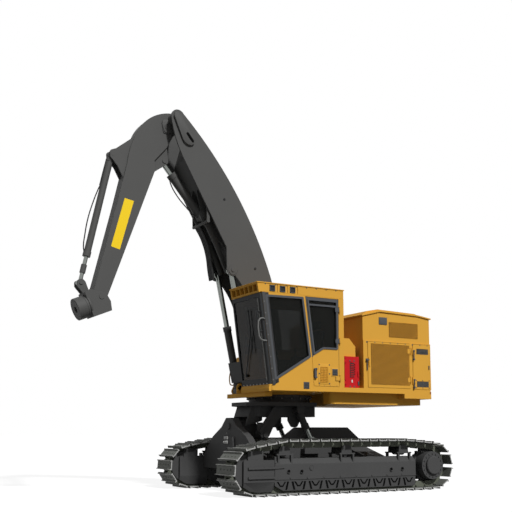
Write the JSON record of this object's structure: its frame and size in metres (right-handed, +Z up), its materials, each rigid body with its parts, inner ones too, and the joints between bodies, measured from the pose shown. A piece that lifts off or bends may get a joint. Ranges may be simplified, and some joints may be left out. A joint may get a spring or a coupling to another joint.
{
  "type": "tracked forestry harvester",
  "caption": "Tracked forestry harvester with a levelling turntable, cab beside a folding arm, and a turning flange for a felling head.",
  "frame": {"origin": "on the ground under the middle of the tracks, on the centre plane", "axes": "+X forward, +Y to the operator's left, +Z up"},
  "size_m": [7.0639, 3.2, 7.0338],
  "materials": {
    "black": "satin black paint",
    "engine": "dull cast metal",
    "glass": "smoked glass",
    "grey": "satin dark grey paint",
    "hose": "matt black rubber",
    "red": "satin red paint",
    "rod_chrome": "polished plating",
    "seat": "dark woven fabric",
    "track_steel": "dull worn steel with rubbed edges",
    "window_grey": "satin mid grey paint",
    "yellow": "worn satin yellow paint"
  },
  "bodies": {
    "undercarriage": {"track_left": "track_steel", "track_right": "track_steel", "side_frame_left": "yellow", "side_frame_right": "yellow", "idlers": "track_steel", "final_drives": "yellow", "track_rollers": "track_steel", "car_body": "yellow", "levelling_yoke": "yellow"},
    "table": {"levelling_table": "yellow"},
    "levelling_barrels": {"levelling_barrels": "grey"},
    "levelling_rods": {"levelling_rods": "rod_chrome"},
    "house": {"bearing_upper_ring": "grey", "house_frame": "yellow", "counterweight": "yellow", "cab_shell": "yellow", "cab_roof": "yellow", "side_lamps": "black", "window_frame": "window_grey", "windshield_frame": "black", "cab_glass": "glass", "cab_interior": "seat", "hood_shell": "yellow", "hood_grilles": "black", "hood_roof": "yellow", "engine_block": "engine", "deck_tanks": "yellow", "cabinet": "red"},
    "boom": {"boom": "grey", "boom_hoses": "hose"},
    "hoist_barrels": {"hoist_barrels": "grey", "hoist_guard": "black"},
    "hoist_rods": {"hoist_rods": "rod_chrome"},
    "stick": {"stick": "grey"},
    "stick_barrel": {"stick_barrel": "grey"},
    "stick_rod": {"stick_rod": "rod_chrome"},
    "wrist": {"wrist": "grey"},
    "tilt_barrel": {"tilt_barrel": "grey"},
    "tilt_rod": {"tilt_rod": "rod_chrome"},
    "rotator": {"rotator": "grey"},
    "cab_door": {"cab_door": "yellow", "cab_door_glass": "glass"},
    "engine_door": {"engine_door": "yellow"},
    "cooler_door": {"cooler_door": "yellow"},
    "cabinet_door": {"cabinet_door": "red"}
  },
  "joints": [
    {"name": "table_pitch", "type": "hinge", "parent": "undercarriage", "child": "table", "pos_m": [1.106, 0, 1.035], "axis": [0, 1, 0], "range_deg": [-3, 11]},
    {"name": "levelling_cylinder_turn", "type": "hinge", "parent": "table", "child": "levelling_barrels", "pos_m": [0.405, 0, 1.5], "axis": [0, 1, 0], "range_deg": [-9.7, 3.37]},
    {"name": "levelling_rod_slide", "type": "slide", "parent": "levelling_barrels", "child": "levelling_rods", "axis": [-0.4497, 0, -0.8932], "range_m": [-0.0533, 0.1687]},
    {"name": "house_swing", "type": "hinge", "parent": "table", "child": "house", "pos_m": [0.54, 0, 1.726], "axis": [0, 0, 1], "continuous": true},
    {"name": "boom_lift", "type": "hinge", "parent": "house", "child": "boom", "pos_m": [0.74, -0.175, 2.23], "axis": [0, 1, 0], "range_deg": [-4, 55]},
    {"name": "hoist_cylinder_turn", "type": "hinge", "parent": "house", "child": "hoist_barrels", "pos_m": [1.19, -0.175, 1.88], "axis": [0, 1, 0], "range_deg": [-4.93, 55.08]},
    {"name": "hoist_rod_slide", "type": "slide", "parent": "hoist_barrels", "child": "hoist_rods", "axis": [0.207, 0, 0.9783], "range_m": [-0.5355, 0.0482]},
    {"name": "stick_reach", "type": "hinge", "parent": "boom", "child": "stick", "pos_m": [2.825, -0.175, 6.9], "axis": [0, -1, 0], "range_deg": [-1, 54]},
    {"name": "stick_cylinder_turn", "type": "hinge", "parent": "boom", "child": "stick_barrel", "pos_m": [2.166, -0.175, 5.15], "axis": [0, 1, 0], "range_deg": [-1.12, 7.42]},
    {"name": "stick_rod_slide", "type": "slide", "parent": "stick_barrel", "child": "stick_rod", "axis": [0.6493, 0, 0.7606], "range_m": [-0.023, 0.7132]},
    {"name": "wrist_tilt", "type": "hinge", "parent": "stick", "child": "wrist", "pos_m": [4.165, -0.175, 3.44], "axis": [0, 1, 0], "range_deg": [-5, 85]},
    {"name": "tilt_cylinder_turn", "type": "hinge", "parent": "stick", "child": "tilt_barrel", "pos_m": [3.985, -0.175, 6.07], "axis": [0, 1, 0], "range_deg": [-1.18, 4.09]},
    {"name": "tilt_rod_slide", "type": "slide", "parent": "tilt_barrel", "child": "tilt_rod", "axis": [0.2133, 0, -0.977], "range_m": [-0.045, 0.6046]},
    {"name": "rotator_spin", "type": "hinge", "parent": "wrist", "child": "rotator", "pos_m": [4.56693, -0.175, 3.1962], "axis": [0.9219, 0, -0.3875], "continuous": true},
    {"name": "cab_door_swing", "type": "hinge", "parent": "house", "child": "cab_door", "pos_m": [0.03, 1.326, 2.1], "axis": [0, 0, 1], "range_deg": [0, 90]},
    {"name": "engine_door_swing", "type": "hinge", "parent": "house", "child": "engine_door", "pos_m": [-1.646, 1.326, 2.3], "axis": [0, 0, 1], "range_deg": [0, 85]},
    {"name": "cooler_door_swing", "type": "hinge", "parent": "house", "child": "cooler_door", "pos_m": [-1.7, 1.326, 2.3], "axis": [0, 0, -1], "range_deg": [0, 85]},
    {"name": "cabinet_door_swing", "type": "hinge", "parent": "house", "child": "cabinet_door", "pos_m": [-0.104, 1.262, 2.2], "axis": [0, 0, -1], "range_deg": [0, 85]}
  ],
  "couplings": [
    {"joint": "levelling_cylinder_turn", "follows": "table_pitch", "ratio": -0.7907},
    {"joint": "levelling_rod_slide", "follows": "table_pitch", "m_per_rad": 0.8268},
    {"joint": "hoist_cylinder_turn", "follows": "boom_lift", "ratio": 0.9833},
    {"joint": "hoist_rod_slide", "follows": "boom_lift", "m_per_rad": -0.5474},
    {"joint": "stick_cylinder_turn", "follows": "stick_reach", "ratio": 0.1189},
    {"joint": "stick_rod_slide", "follows": "stick_reach", "m_per_rad": 0.7461},
    {"joint": "tilt_cylinder_turn", "follows": "wrist_tilt", "ratio": 0.0364},
    {"joint": "tilt_rod_slide", "follows": "wrist_tilt", "m_per_rad": 0.4008}
  ]
}
